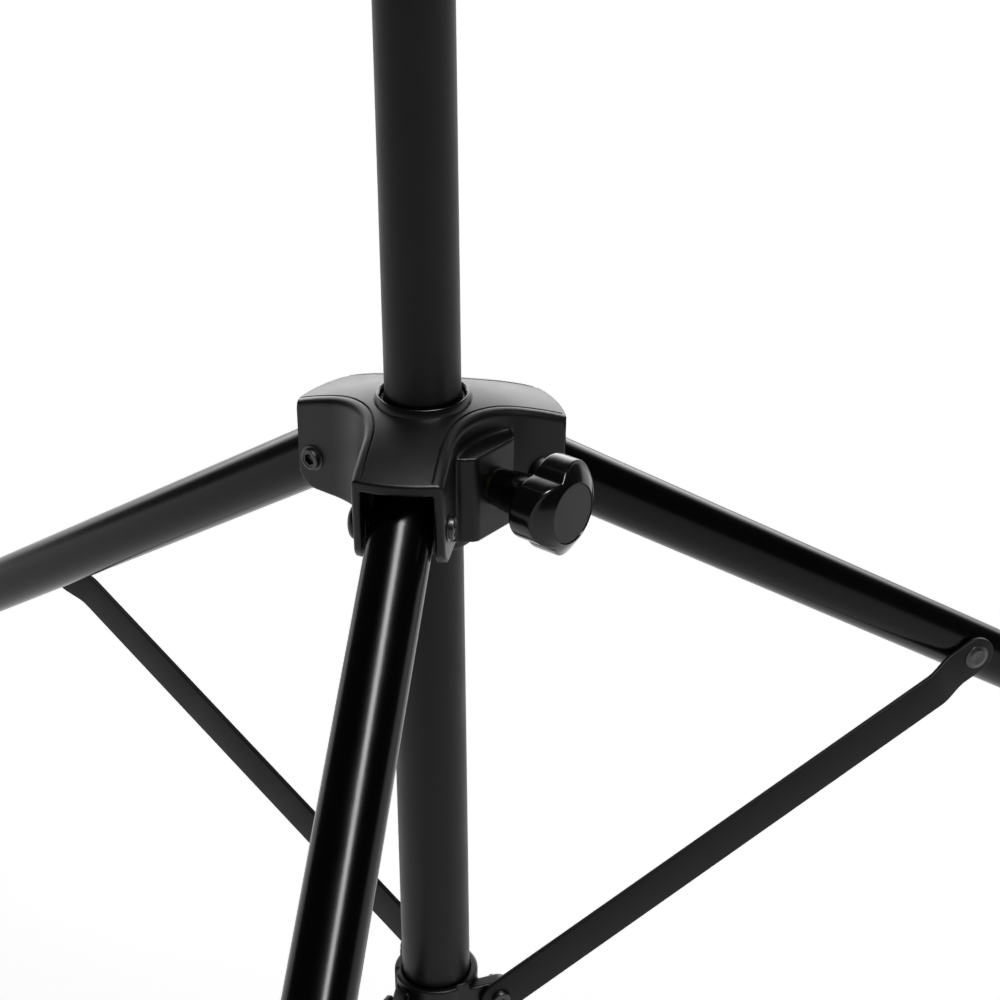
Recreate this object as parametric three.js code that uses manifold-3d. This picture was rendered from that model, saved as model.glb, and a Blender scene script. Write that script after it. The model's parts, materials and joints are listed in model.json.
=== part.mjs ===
// A folding tripod stand for a loudspeaker, standing open with its pole down.
// Millimetres, +Z up, floor at z = 0, front leg along -Y. The origin is the middle of the footprint.
//
// Three legs hinge on a moulded hub that slides on a fixed mast. A flat brace joins each leg to a
// collar at the foot of the mast, so the hub's travel folds all three legs together. A pole slides
// in the mast and carries the loudspeaker. Two lobed knobs, one on the hub and one on the mast's
// top clamp, press a stud on the tube that slides past them.

import * as THREE from "three";
import { mergeVertices } from "three/addons/utils/BufferGeometryUtils.js";
import Module from "manifold-3d";

const wasm = await Module();
wasm.setup();

// ---------------------------------------------------------------- driving dimensions

const GAP = 0.3; // clearance between touching pieces

const MAST_RADIUS = 19;
const MAST_WALL = 1.2;
const MAST_BOTTOM = 25;
const MAST_TOP = 1048;

const POLE_RADIUS = 17.5;
const POLE_WALL = 1.5;
const POLE_BOTTOM = 130;
const POLE_TOP = 1240;
const PLUG_DEPTH = 20; // end plugs' reach into the pole

const LEG_RADIUS = 16;
const LEG_WALL = 1.5;
const LEG_ANGLE = THREE.MathUtils.degToRad(32.05); // below horizontal, standing open
const LEG_LENGTH = 671; // pivot to the centre of the foot's ball
const LEG_STUB = 13; // tube beyond the pivot
const PIVOT_REACH = 55.8; // leg pivot from the mast's axis
const PIVOT_HEIGHT = 370;

const BRACE_ALONG_LEG = 320; // leg pivot to brace rivet
const BRACE_REACH = 30; // lower brace pivot from the mast's axis
const BRACE_DROP = 326; // lower brace pivot below the leg pivot
const STRAP_WIDTH = 23;
const STRAP_THICKNESS = 3;
const STRAP_JOGGLE = 4.5; // the strap's run stands this much further out than its tab

const HUB_PLANE = PIVOT_HEIGHT + 40.8; // base of the collar lip on top of the hub
const HUB_ARM_HALF = 22.2; // half the width of an arm
const HUB_SLOT_HALF = 17.5; // half the width of the leg's slot
const HUB_REACH = 71.4; // outer end of an arm
const HUB_WAIST = 33.4; // outline's nearest point to the axis, between two arms
const HUB_BORE = 21.4;
const HUB_DROP = 73.4; // hub plane down to the bottom of the sleeve
const SLEEVE_RADIUS = 25.5; // at the bottom
const SLEEVE_ROOT = 27.3; // where it meets the arms
const ARM_DROP = 58.9; // hub plane down to the bottom of the arms
const ARM_SKIN = 5.5; // thickness of an arm's top
const SLOT_INNER = 28; // inner end of the leg's slot from the axis
const BUSH_DEPTH = 22; // upper bush below the hub plane
const BUSH_LOWER = 46; // top of the lower bush below the hub plane
const DOME_RADIUS = 170; // crown of the hub's top
const LIP_OUTER = 24.3;
const LIP_TOP = 22.8;
const LIP_HEIGHT = 3.8;

const BOLT_RADIUS = 4;
const BOLT_HEAD = 7;
const BOLT_SOCKET = 2.9; // centre to corner of the hexagon
const WASHER_RADIUS = 8;
const CAP_NUT_RADIUS = 9;
const INSERT_RADIUS = 7.7;
const RIVET_RADIUS = 3.2;
const RIVET_HEAD = 7.4;
const BRACE_BOLT_RADIUS = 3;
const BRACE_BOLT_HEAD = 5.6;
const BRACE_NUT = 5.6; // centre to corner
const BRACE_NUT_BORE = 2.6;
const SET_SCREW_RADIUS = 3;
const SET_SCREW_SOCKET = 1.6; // centre to corner

const LOCK_AZIMUTH = THREE.MathUtils.degToRad(60); // between the front and the right leg
const LOCK_DROP = 33.8; // knob axis below the hub plane
const BOSS_FACE = 46.2;
const BOSS_HALF = 21;
const BOSS_CHAMFER = 6.5;
const BOSS_ROOT = 24; // where it starts, inside the hub's wall
const BOSS_DROP = 13.4; // hub plane down to the boss's top
const STUD_RADIUS = 5;
const KNOB_LOBE = 25.5;
const KNOB_WAIST = 18.6;
const KNOB_CROWN = 27; // radius of the head's domed front
const KNOB_FRONT = 93; // front of the head from the mast's axis
const KNOB_DEPTH = 20;
const KNOB_TURN = THREE.MathUtils.degToRad(40); // first lobe from upright
const CAP_RADIUS = 15;
const NECK_RADIUS = 9.5;
const NECK_ROOT = 12; // where it meets the head
const NECK_START = 48;

const CLAMP_BOTTOM = 1016;
const CLAMP_TOP = 1084;
const CLAMP_RADIUS = 24;
const CLAMP_HEAD_RADIUS = 26.5;
const CLAMP_LOCK_HEIGHT = 1064;
const CLAMP_FACE = 40.2;
const CLAMP_BOSS_RADIUS = 13;
const CLAMP_SCREW_HEIGHT = CLAMP_BOTTOM + 10;

const COLLAR_BOTTOM = 30;
const COLLAR_TOP = 58;
const COLLAR_RADIUS = 23.5;
const LUG_RADIUS = 9;
const LUG_THICKNESS = 8;
const COLLAR_SCREW_HEIGHT = COLLAR_TOP - 7;

const FOOT_RADIUS = 20;
const FOOT_UP_THE_LEG = 34;

const LEGS = [
  { name: "front", azimuth: 0 },
  { name: "right", azimuth: (2 * Math.PI) / 3 },
  { name: "left", azimuth: (-2 * Math.PI) / 3 },
];

// Facets of a full turn.
const LARGE_ROUND = 32;
const ROUND = 20;
const SMALL_ROUND = 12;

// Worked out from the above.
const LEG_OPEN = Math.PI / 2 - LEG_ANGLE; // leg from hanging straight down
const BRACE_PIVOT_HEIGHT = PIVOT_HEIGHT - BRACE_DROP;
const RIVET_REACH = PIVOT_REACH + BRACE_ALONG_LEG * Math.sin(LEG_OPEN);
const RIVET_HEIGHT = PIVOT_HEIGHT - BRACE_ALONG_LEG * Math.cos(LEG_OPEN);
const BRACE_LENGTH = Math.hypot(RIVET_REACH - BRACE_REACH, RIVET_HEIGHT - BRACE_PIVOT_HEIGHT);
const BRACE_OPEN = Math.atan2(RIVET_REACH - BRACE_REACH, RIVET_HEIGHT - BRACE_PIVOT_HEIGHT);
const FOOT_REACH = PIVOT_REACH + LEG_LENGTH * Math.sin(LEG_OPEN);
const TAB_INNER = -(LEG_RADIUS + GAP); // strap's face against the tube, along the pivot's axis
const RUN_INNER = TAB_INNER - STRAP_JOGGLE;
const LUG_FACE = RUN_INNER + GAP;

// ---------------------------------------------------------------- materials

const finish = (color, roughness, metalness) =>
  new THREE.MeshStandardMaterial({ color, roughness, metalness });

const MATERIALS = {
  mast: () => finish(0x141414, 0.5, 0.2),
  leg: () => finish(0x101010, 0.28, 0.2),
  hub: () => finish(0x1b1b1c, 0.45, 0),
  brace: () => finish(0x1a1a1b, 0.5, 0.2),
  knob: () => finish(0x111112, 0.18, 0),
  knobCap: () => finish(0x2a2a2b, 0.6, 0),
  steel: () => finish(0x3a3a3c, 0.35, 0.9),
  brass: () => finish(0xb08d4a, 0.35, 0.9),
  nylon: () => finish(0x3c3c3e, 0.6, 0),
  rubber: () => finish(0x161616, 0.85, 0),
};

// ---------------------------------------------------------------- shapes

// A body of revolution about Z from [radius, z] points that run up the outside.
function turned(points, segments = ROUND) {
  const profile = points.map(([radius, z]) => new THREE.Vector2(radius, z));
  return new THREE.LatheGeometry(profile, segments).rotateX(Math.PI / 2);
}

function rod(radius, bottom, top, segments = ROUND) {
  return turned([[0, bottom], [radius, bottom], [radius, top], [0, top]], segments);
}

function ring(outer, inner, bottom, top, segments = LARGE_ROUND) {
  const corners = [[inner, bottom], [outer, bottom], [outer, top], [inner, top], [inner, bottom]];
  return turned(corners, segments);
}

// A prism along Z from [x, y] corners.
function prism(corners, bottom, top) {
  const shape = new THREE.Shape(corners.map(([x, y]) => new THREE.Vector2(x, y)));
  const options = { depth: top - bottom, bevelEnabled: false };
  return new THREE.ExtrudeGeometry(shape, options).translate(0, 0, bottom);
}

// Corners of a hexagon, at a radius from its centre.
function hexagon(radius) {
  return Array.from({ length: 6 }, (_, i) => {
    const angle = (i * Math.PI) / 3;
    return [radius * Math.cos(angle), radius * Math.sin(angle)];
  });
}

// Turns a shape made along Z to lie along X, the direction of the pivots in a leg's frame.
const alongX = (geometry) => geometry.rotateY(Math.PI / 2);

// A flat plate of [y, z] corners, from x = from to x = to.
function plate(corners, from, to) {
  const turn = new THREE.Matrix4().set(0, 0, 1, 0, 1, 0, 0, 0, 0, 1, 0, 0, 0, 0, 0, 1);
  return prism(corners, from, to).applyMatrix4(turn);
}

// Points of an arc about [x, y], from one angle to another.
function arc(x, y, radius, from, to, steps) {
  return Array.from({ length: steps + 1 }, (_, i) => {
    const angle = from + ((to - from) * i) / steps;
    return [x + radius * Math.cos(angle), y + radius * Math.sin(angle)];
  });
}

// ---------------------------------------------------------------- joins and cuts

function solid(geometry) {
  const bare = geometry.clone();
  bare.deleteAttribute("normal");
  bare.deleteAttribute("uv");
  const merged = mergeVertices(bare, 1e-4);
  return new wasm.Manifold(
    new wasm.Mesh({
      numProp: 3,
      vertProperties: new Float32Array(merged.attributes.position.array),
      triVerts: new Uint32Array(merged.index.array),
    }),
  );
}

function geometryOf(manifold) {
  const mesh = manifold.getMesh();
  const geometry = new THREE.BufferGeometry();
  geometry.setAttribute("position", new THREE.BufferAttribute(mesh.vertProperties, 3));
  geometry.setIndex(new THREE.BufferAttribute(mesh.triVerts, 1));
  geometry.computeVertexNormals();
  return geometry;
}

const join = (geometries) => geometryOf(geometries.map(solid).reduce((a, b) => a.add(b)));
const cut = (geometry, tools) =>
  geometryOf(tools.map(solid).reduce((a, b) => a.subtract(b), solid(geometry)));
const common = (a, b) => geometryOf(solid(a).intersect(solid(b)));

// ---------------------------------------------------------------- the stand

const stand = new THREE.Group();
stand.position.y = FOOT_REACH / 4; // puts the origin under the middle of the three feet

function piece(parent, name, geometry, material) {
  const mesh = new THREE.Mesh(geometry, MATERIALS[material]());
  mesh.name = name;
  parent.add(mesh);
  return mesh;
}

// A frame turned about the mast: -Y points outward and +X to the right seen from above, foot first.
function turnedFrame(azimuth) {
  const group = new THREE.Group();
  group.rotation.z = azimuth;
  stand.add(group);
  return group;
}

// ---------------------------------------------------------------- mast and top clamp

function mast() {
  const inner = MAST_RADIUS - MAST_WALL;
  piece(stand, "mast_tube", ring(MAST_RADIUS, inner, MAST_BOTTOM, MAST_TOP), "mast");

  const spigot = inner - GAP;
  const flangeTop = MAST_BOTTOM - GAP;
  const cap = turned([
    [0, flangeTop - 4],
    [MAST_RADIUS - 2, flangeTop - 4],
    [MAST_RADIUS, flangeTop - 2],
    [MAST_RADIUS, flangeTop],
    [spigot, flangeTop],
    [spigot, MAST_BOTTOM + 18],
    [0, MAST_BOTTOM + 18],
  ]);
  piece(stand, "mast_end_cap", cap, "rubber");
}

function setScrew(name, height, outer) {
  const frame = turnedFrame(LOCK_AZIMUTH + Math.PI);
  const grub = rod(SET_SCREW_RADIUS, MAST_RADIUS + GAP, outer, SMALL_ROUND);
  const screw = cut(grub, [prism(hexagon(SET_SCREW_SOCKET), outer - 2, outer + 1)]);
  const mesh = piece(frame, name, screw, "steel");
  mesh.rotation.x = Math.PI / 2;
  mesh.position.z = height;
}

// The hole that a set screw, a stud or its insert goes through, outward from the mast.
function radialHole(radius, azimuth, height) {
  const hole = rod(radius, MAST_RADIUS / 2, BOSS_FACE + 10, SMALL_ROUND).rotateX(Math.PI / 2);
  return hole.rotateZ(azimuth).translate(0, 0, height);
}

function topClamp() {
  const bore = MAST_RADIUS + GAP;
  const linerOuter = MAST_RADIUS + 1;
  const shoulder = MAST_TOP + GAP;
  const body = turned([
    [bore, CLAMP_BOTTOM],
    [CLAMP_RADIUS - 1.5, CLAMP_BOTTOM],
    [CLAMP_RADIUS, CLAMP_BOTTOM + 1.5],
    [CLAMP_RADIUS, MAST_TOP - 14],
    [CLAMP_HEAD_RADIUS, MAST_TOP - 8],
    [CLAMP_HEAD_RADIUS, CLAMP_TOP - 4],
    [CLAMP_HEAD_RADIUS - 3, CLAMP_TOP],
    [linerOuter + GAP, CLAMP_TOP],
    [linerOuter + GAP, shoulder],
    [bore, shoulder],
    [bore, CLAMP_BOTTOM],
  ], LARGE_ROUND);
  const boss = rod(CLAMP_BOSS_RADIUS, linerOuter + 2, CLAMP_FACE, ROUND).rotateX(Math.PI / 2);
  boss.rotateZ(LOCK_AZIMUTH).translate(0, 0, CLAMP_LOCK_HEIGHT);
  const housing = cut(join([body, boss]), [
    radialHole(STUD_RADIUS + GAP, LOCK_AZIMUTH, CLAMP_LOCK_HEIGHT),
    radialHole(SET_SCREW_RADIUS + GAP, LOCK_AZIMUTH + Math.PI, CLAMP_SCREW_HEIGHT),
  ]);
  piece(stand, "top_clamp", housing, "hub");

  const linerInner = POLE_RADIUS + GAP;
  const sleeve = ring(linerOuter, linerInner, shoulder + GAP, CLAMP_TOP - 1);
  const hole = radialHole(STUD_RADIUS + GAP, LOCK_AZIMUTH, CLAMP_LOCK_HEIGHT);
  piece(stand, "clamp_liner", cut(sleeve, [hole]), "nylon");
  setScrew("clamp_set_screw", CLAMP_SCREW_HEIGHT, CLAMP_RADIUS - 0.5);
}

// ---------------------------------------------------------------- collar that holds the braces

function braceCollar() {
  const parts = [ring(COLLAR_RADIUS, MAST_RADIUS + GAP, COLLAR_BOTTOM, COLLAR_TOP)];
  const holes = [
    rod(MAST_RADIUS + GAP, COLLAR_BOTTOM - 5, COLLAR_TOP + 5, LARGE_ROUND),
    radialHole(SET_SCREW_RADIUS + GAP, LOCK_AZIMUTH + Math.PI, COLLAR_SCREW_HEIGHT),
  ];
  const middle = BRACE_PIVOT_HEIGHT;
  const outline = [
    [-10, middle - LUG_RADIUS],
    [-10, middle + LUG_RADIUS],
    ...arc(-BRACE_REACH, middle, LUG_RADIUS, Math.PI / 2, (3 * Math.PI) / 2, 8),
  ];
  for (const { azimuth } of LEGS) {
    const hole = alongX(rod(BRACE_BOLT_RADIUS + GAP, LUG_FACE - 5, LUG_FACE + 12, SMALL_ROUND));
    hole.translate(0, -BRACE_REACH, middle);
    parts.push(plate(outline, LUG_FACE, LUG_FACE + LUG_THICKNESS).rotateZ(azimuth));
    holes.push(hole.rotateZ(azimuth));
  }
  piece(stand, "brace_collar", cut(join(parts), holes), "hub");
  setScrew("collar_set_screw", COLLAR_SCREW_HEIGHT, COLLAR_RADIUS - 0.3);

  for (const { name, azimuth } of LEGS) {
    const inner = LUG_FACE + LUG_THICKNESS + GAP;
    const bore = rod(BRACE_NUT_BORE, inner - 1, inner + 5, SMALL_ROUND);
    const nut = cut(prism(hexagon(BRACE_NUT), inner, inner + 4), [bore]);
    const mesh = piece(turnedFrame(azimuth), `brace_nut_${name}`, alongX(nut), "steel");
    mesh.position.set(0, -BRACE_REACH, middle);
  }
}

// ---------------------------------------------------------------- hub

// The hub seen from above: three arms with hollow curves between them.
function hubOutline() {
  const sine = Math.sin(Math.PI / 3);
  const curve = (HUB_WAIST * sine - HUB_ARM_HALF) / (1 - sine); // radius of the hollow curve
  const middle = HUB_WAIST + curve; // its centre from the axis
  const corner = Math.asin(HUB_ARM_HALF / HUB_REACH);
  const span = Math.PI / 6; // half the turn of a hollow curve
  const outline = [];
  for (let k = 0; k < 3; k++) {
    const out = -Math.PI / 2 + (k * 2 * Math.PI) / 3;
    const between = out + Math.PI / 3;
    const back = between - Math.PI;
    const x = middle * Math.cos(between);
    const y = middle * Math.sin(between);
    outline.push(...arc(0, 0, HUB_REACH, out - corner, out + corner, 6));
    outline.push(...arc(x, y, curve, back + span, back - span, 8));
  }
  return outline;
}

const domeDrop = (radius) => (radius ** 2 - LIP_OUTER ** 2) / (2 * DOME_RADIUS);

// The hub's outer form turned about the mast: sleeve, flat underside, rounded ends, crown and lip.
function hubEnvelope() {
  const crown = [HUB_REACH, 60, 48, 36, LIP_OUTER].map((r) => [r, HUB_PLANE - domeDrop(r)]);
  return turned([
    [0, HUB_PLANE - HUB_DROP],
    [SLEEVE_RADIUS, HUB_PLANE - HUB_DROP],
    [SLEEVE_ROOT, HUB_PLANE - ARM_DROP],
    [57, HUB_PLANE - ARM_DROP],
    [62.5, HUB_PLANE - ARM_DROP + 1.2],
    [67, HUB_PLANE - ARM_DROP + 5.5],
    [HUB_REACH - 2.4, HUB_PLANE - ARM_DROP + 12],
    ...crown,
    [LIP_TOP, HUB_PLANE + LIP_HEIGHT],
    [0, HUB_PLANE + LIP_HEIGHT],
  ], LARGE_ROUND);
}

// The slot that a leg folds in, open below and at its outer end, in the frame of its arm.
function legSlot() {
  const outer = HUB_REACH + 8;
  const reaches = [SLOT_INNER, 44, 58, HUB_REACH, outer];
  const roof = reaches.map((r) => [-r, HUB_PLANE - ARM_SKIN - domeDrop(r)]);
  const floor = HUB_PLANE - ARM_DROP - 5;
  const corners = [[-SLOT_INNER, floor], ...roof, [-outer, floor]];
  return plate(corners, -HUB_SLOT_HALF, HUB_SLOT_HALF);
}

function hub() {
  const height = HUB_PLANE - LOCK_DROP;
  const arms = common(prism(hubOutline(), HUB_PLANE - 80, HUB_PLANE + 6), hubEnvelope());
  const boss = prism([
    [-BOSS_HALF, -BOSS_ROOT],
    [-BOSS_HALF, -BOSS_FACE + BOSS_CHAMFER],
    [-BOSS_HALF + BOSS_CHAMFER, -BOSS_FACE],
    [BOSS_HALF - BOSS_CHAMFER, -BOSS_FACE],
    [BOSS_HALF, -BOSS_FACE + BOSS_CHAMFER],
    [BOSS_HALF, -BOSS_ROOT],
  ], HUB_PLANE - ARM_DROP, HUB_PLANE - BOSS_DROP).rotateZ(LOCK_AZIMUTH);
  const holes = [
    rod(HUB_BORE, HUB_PLANE - HUB_DROP - 5, HUB_PLANE + 10, LARGE_ROUND),
    radialHole(INSERT_RADIUS + GAP, LOCK_AZIMUTH, height),
  ];
  for (const { azimuth } of LEGS) {
    const bolt = alongX(rod(BOLT_RADIUS + GAP, -40, 40, SMALL_ROUND));
    holes.push(legSlot().rotateZ(azimuth));
    holes.push(bolt.translate(0, -PIVOT_REACH, PIVOT_HEIGHT).rotateZ(azimuth));
  }
  piece(stand, "hub_housing", cut(join([arms, boss]), holes), "hub");

  const bushOuter = HUB_BORE - GAP;
  const bushInner = MAST_RADIUS + GAP;
  const upper = ring(bushOuter, bushInner, HUB_PLANE - BUSH_DEPTH, HUB_PLANE + 1);
  const lower = ring(bushOuter, bushInner, HUB_PLANE - HUB_DROP + 1, HUB_PLANE - BUSH_LOWER);
  piece(stand, "hub_bush_upper", upper, "nylon");
  piece(stand, "hub_bush_lower", lower, "nylon");

  const insert = ring(INSERT_RADIUS, STUD_RADIUS + GAP, HUB_BORE + 2, BOSS_FACE - 0.4, ROUND);
  const mesh = piece(turnedFrame(LOCK_AZIMUTH), "lock_insert", insert, "brass");
  mesh.rotation.x = Math.PI / 2;
  mesh.position.z = height;

  for (const { name, azimuth } of LEGS) hubBolt(turnedFrame(azimuth), name);
}

// The bolt, cap nut and two washers that a leg turns on.
function hubBolt(frame, name) {
  const face = HUB_ARM_HALF + GAP;
  const end = -(face + 2);
  const place = (mesh) => mesh.position.set(0, -PIVOT_REACH, PIVOT_HEIGHT);
  const button = turned([
    [0, end],
    [BOLT_RADIUS, end],
    [BOLT_RADIUS, face],
    [BOLT_HEAD, face],
    [BOLT_HEAD, face + 1.2],
    [BOLT_HEAD - 1.6, face + 3],
    [0, face + 3],
  ], ROUND);
  const bolt = cut(button, [prism(hexagon(BOLT_SOCKET), face + 0.8, face + 4)]);
  place(piece(frame, `pivot_bolt_${name}`, alongX(bolt), "steel"));

  const nut = turned([
    [0, -(face + 4.4)],
    [5, -(face + 4)],
    [CAP_NUT_RADIUS - 1, -(face + 2.2)],
    [CAP_NUT_RADIUS, -(face + 1)],
    [CAP_NUT_RADIUS, -face],
    [BOLT_RADIUS + GAP, -face],
    [BOLT_RADIUS + GAP, end - GAP],
    [0, end - GAP],
  ], ROUND);
  place(piece(frame, `pivot_nut_${name}`, alongX(nut), "hub"));

  const near = LEG_RADIUS + GAP;
  const far = HUB_SLOT_HALF - GAP;
  for (const [side, from, to] of [["a", near, far], ["b", -far, -near]]) {
    const washer = ring(WASHER_RADIUS, BOLT_RADIUS + GAP, from, to, SMALL_ROUND);
    place(piece(frame, `pivot_washer_${name}_${side}`, alongX(washer), "nylon"));
  }
}

// ---------------------------------------------------------------- lock knobs

// A knob head with three round lobes, its upper lobe turned to the right seen from its front.
function lobedOutline(steps = 36, fullness = 0.6) {
  return Array.from({ length: steps }, (_, i) => {
    const angle = (i * 2 * Math.PI) / steps;
    const lobe = ((1 + Math.cos(3 * angle)) / 2) ** fullness;
    const radius = KNOB_WAIST + (KNOB_LOBE - KNOB_WAIST) * lobe;
    const turn = Math.PI / 2 - KNOB_TURN - angle;
    return [radius * Math.cos(turn), radius * Math.sin(turn)];
  }).reverse();
}

// The knob, its cap and its stud, along -Y of a frame turned to the lock's side.
function lockKnob(prefix, height, shift) {
  const frame = turnedFrame(LOCK_AZIMUTH);
  const put = (name, geometry, material) => {
    const mesh = piece(frame, name, geometry, material);
    mesh.rotation.x = Math.PI / 2;
    mesh.position.set(0, shift, height);
  };
  const back = KNOB_FRONT - KNOB_DEPTH;
  const rim = CAP_RADIUS + 0.5;
  const domed = (radius) => KNOB_FRONT - (radius ** 2 - rim ** 2) / (2 * KNOB_CROWN);
  const crown = turned([
    [0, back - 1],
    [KNOB_LOBE - 1.5, back - 1],
    [KNOB_LOBE + 1, back + 2],
    ...[KNOB_LOBE + 1, 23, 20, rim].map((radius) => [radius, domed(radius)]),
    [0, KNOB_FRONT],
  ], LARGE_ROUND);
  const head = common(prism(lobedOutline(), back, KNOB_FRONT + 1), crown);
  const neck = turned([
    [0, NECK_START],
    [NECK_RADIUS, NECK_START],
    [NECK_RADIUS, NECK_START + 4],
    [NECK_ROOT, back],
    [NECK_ROOT, back + 2],
    [0, back + 2],
  ], ROUND);
  const knob = cut(join([head, neck]), [
    rod(STUD_RADIUS + GAP, NECK_START - 1, KNOB_FRONT - 10, SMALL_ROUND),
    rod(CAP_RADIUS + GAP, KNOB_FRONT - 1.5, KNOB_FRONT + 2, ROUND),
  ]);
  put(`${prefix}_knob`, knob, "knob");
  put(`${prefix}_knob_cap`, rod(CAP_RADIUS, KNOB_FRONT - 1.2, KNOB_FRONT - 0.4, ROUND), "knobCap");
}

function lockStud(prefix, height, shift, tip) {
  const stud = turned([
    [0, tip],
    [STUD_RADIUS - 1.5, tip],
    [STUD_RADIUS, tip + 1.5],
    [STUD_RADIUS, KNOB_FRONT - 11 - shift],
    [0, KNOB_FRONT - 11 - shift],
  ], SMALL_ROUND);
  const mesh = piece(turnedFrame(LOCK_AZIMUTH), `${prefix}_stud`, stud, "steel");
  mesh.rotation.x = Math.PI / 2;
  mesh.position.z = height;
}

function locks() {
  const hubHeight = HUB_PLANE - LOCK_DROP;
  const clampShift = BOSS_FACE - CLAMP_FACE;
  lockStud("hub_lock", hubHeight, 0, MAST_RADIUS + GAP);
  lockKnob("hub_lock", hubHeight, 0);
  lockStud("clamp_lock", CLAMP_LOCK_HEIGHT, clampShift, POLE_RADIUS + GAP);
  lockKnob("clamp_lock", CLAMP_LOCK_HEIGHT, clampShift);
}

// ---------------------------------------------------------------- legs and feet

// A leg hangs along -Z of its own frame, whose origin is the pivot, and swings out about X.
function leg({ name, azimuth }) {
  const frame = new THREE.Group();
  frame.position.set(0, -PIVOT_REACH, PIVOT_HEIGHT);
  frame.rotation.x = -LEG_OPEN;
  turnedFrame(azimuth).add(frame);

  const inner = LEG_RADIUS - LEG_WALL;
  const end = -(LEG_LENGTH - 12);
  const pivotHole = () => alongX(rod(BOLT_RADIUS + GAP, -20, 20, SMALL_ROUND));
  const rivetHole = alongX(rod(RIVET_RADIUS + GAP, -LEG_RADIUS - 5, -5, SMALL_ROUND));
  rivetHole.translate(0, 0, -BRACE_ALONG_LEG);
  const tube = cut(ring(LEG_RADIUS, inner, end, LEG_STUB, ROUND), [pivotHole(), rivetHole]);
  piece(frame, `leg_tube_${name}`, tube, "leg");

  const plugRadius = inner - GAP;
  const plug = turned([
    [0, -24],
    [plugRadius - 1, -24],
    [plugRadius, -23],
    [plugRadius, LEG_STUB + GAP],
    [LEG_RADIUS, LEG_STUB + GAP],
    [LEG_RADIUS - 1, LEG_STUB + 2],
    [0, LEG_STUB + 2],
  ], ROUND);
  piece(frame, `leg_plug_${name}`, cut(plug, [pivotHole()]), "nylon");

  foot(frame, name);
  rivet(frame, name);
  brace(frame, name);
}

// A rubber boot with a ball end, cut flat where it stands on the floor.
function foot(frame, name) {
  const bottom = -LEG_LENGTH;
  const top = bottom + FOOT_UP_THE_LEG;
  const bore = LEG_RADIUS + GAP;
  const seat = bottom + 12 - GAP;
  const ball = arc(0, bottom, FOOT_RADIUS, -Math.PI / 2, 0, 5);
  ball[0][0] = 0;
  const boot = turned([
    ...ball,
    [FOOT_RADIUS, top - 6],
    [FOOT_RADIUS - 2, top],
    [bore, top],
    [bore, seat],
    [0, seat],
  ], ROUND);
  const side = 100;
  const floor = new THREE.BoxGeometry(side, side, side);
  floor.translate(0, -FOOT_REACH, -side / 2);
  floor.translate(0, PIVOT_REACH, -PIVOT_HEIGHT).rotateX(LEG_OPEN);
  piece(frame, `foot_${name}`, cut(boot, [floor]), "rubber");
}

// The shouldered rivet that a brace turns on, through one wall of the leg.
function rivet(frame, name) {
  const under = TAB_INNER - STRAP_THICKNESS - GAP;
  const shape = turned([
    [0, under - 2.2],
    [4.5, under - 2.2],
    [RIVET_HEAD, under - 1],
    [RIVET_HEAD, under],
    [RIVET_RADIUS, under],
    [RIVET_RADIUS, -(LEG_RADIUS - LEG_WALL) + 3],
    [0, -(LEG_RADIUS - LEG_WALL) + 3],
  ], SMALL_ROUND);
  const hollow = [[0, under - 3], [3.4, under - 3], [1, under - 1.3], [0, under - 1.3]];
  const dish = turned(hollow, SMALL_ROUND);
  const mesh = piece(frame, `brace_rivet_${name}`, alongX(cut(shape, [dish])), "steel");
  mesh.position.z = -BRACE_ALONG_LEG;
}

// ---------------------------------------------------------------- braces

// A brace hangs along -Z of its own frame, whose origin is the rivet, and swings about X.
function brace(legFrame, name) {
  const frame = new THREE.Group();
  frame.position.z = -BRACE_ALONG_LEG;
  frame.rotation.x = LEG_OPEN + BRACE_OPEN;
  legFrame.add(frame);

  const half = STRAP_WIDTH / 2;
  const outerTab = TAB_INNER - STRAP_THICKNESS;
  const outerRun = RUN_INNER - STRAP_THICKNESS;
  const bendTop = -14;
  const bendBottom = -30;
  const low = -BRACE_LENGTH - half;
  const sideView = [
    [TAB_INNER, half],
    [TAB_INNER, bendTop],
    [RUN_INNER, bendBottom],
    [RUN_INNER, low],
    [outerRun, low],
    [outerRun, bendBottom],
    [outerTab, bendTop],
    [outerTab, half],
  ].reverse();
  const stretched = prism(sideView, -half - 1, half + 1).rotateX(Math.PI / 2);
  const outline = [
    ...arc(0, 0, half, 0, Math.PI, 8),
    ...arc(0, -BRACE_LENGTH, half, Math.PI, 2 * Math.PI, 8),
  ];
  const strap = cut(common(stretched, plate(outline, outerRun - 1, TAB_INNER + 1)), [
    alongX(rod(RIVET_RADIUS + GAP, outerRun - 5, 0, SMALL_ROUND)),
    alongX(rod(BRACE_BOLT_RADIUS + GAP, outerRun - 5, 0, SMALL_ROUND)).translate(0, 0, -BRACE_LENGTH),
  ]);
  piece(frame, `brace_strap_${name}`, strap, "brace");

  const under = outerRun - GAP;
  const bolt = turned([
    [0, under - 2.6],
    [BRACE_BOLT_HEAD - 2, under - 2.6],
    [BRACE_BOLT_HEAD, under - 1],
    [BRACE_BOLT_HEAD, under],
    [BRACE_BOLT_RADIUS, under],
    [BRACE_BOLT_RADIUS, RUN_INNER],
    [0, RUN_INNER],
  ], SMALL_ROUND);
  const mesh = piece(frame, `brace_bolt_${name}`, alongX(bolt), "steel");
  mesh.position.z = -BRACE_LENGTH;
}

// ---------------------------------------------------------------- pole

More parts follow.
